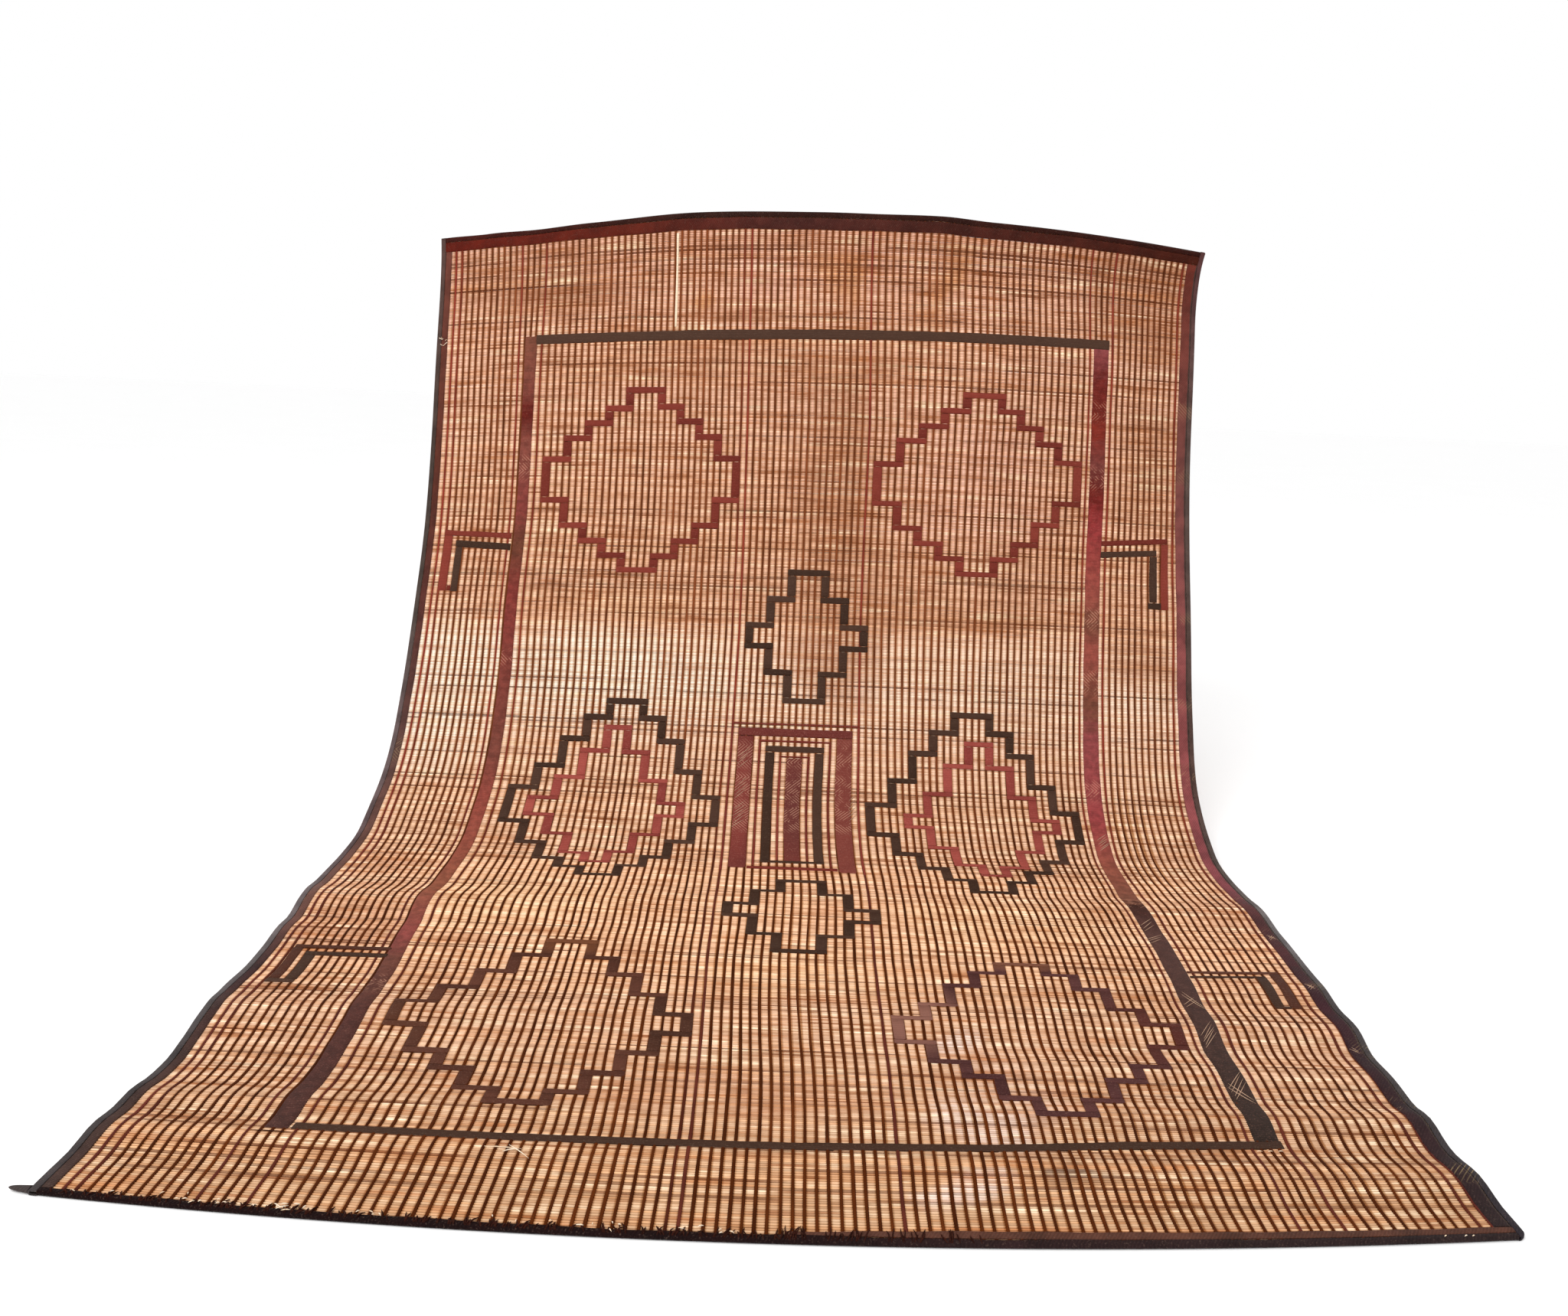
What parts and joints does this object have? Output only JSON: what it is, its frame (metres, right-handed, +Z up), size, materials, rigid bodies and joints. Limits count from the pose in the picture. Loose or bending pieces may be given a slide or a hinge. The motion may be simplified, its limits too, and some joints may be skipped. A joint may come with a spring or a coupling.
{
  "type": "reed and leather mat",
  "caption": "Large woven reed mat with leather thongs, stepped diamonds and leather edging, held up by its top edge and sweeping forward onto the floor.",
  "frame": {"origin": "middle of the top edge, where the mat is held up", "axes": "+Z up, +X along the reeds to the right seen from the front, the face looks towards -Y and upwards"},
  "size_m": [2.0363, 2.0726, 1.5127],
  "materials": {
    "reed": "dry split reed, satin",
    "dark_leather": "worn dark leather, matt",
    "red_leather": "worn dyed red leather, matt"
  },
  "bodies": {
    "root": {"reed_field": "reed", "edging_left": "dark_leather", "edging_right": "dark_leather", "edging_top": "dark_leather", "edging_bottom": "dark_leather", "facing_left": "red_leather", "facing_right": "red_leather", "facing_top": "red_leather", "facing_bottom": "red_leather", "corner_tail": "dark_leather"}
  },
  "joints": []
}
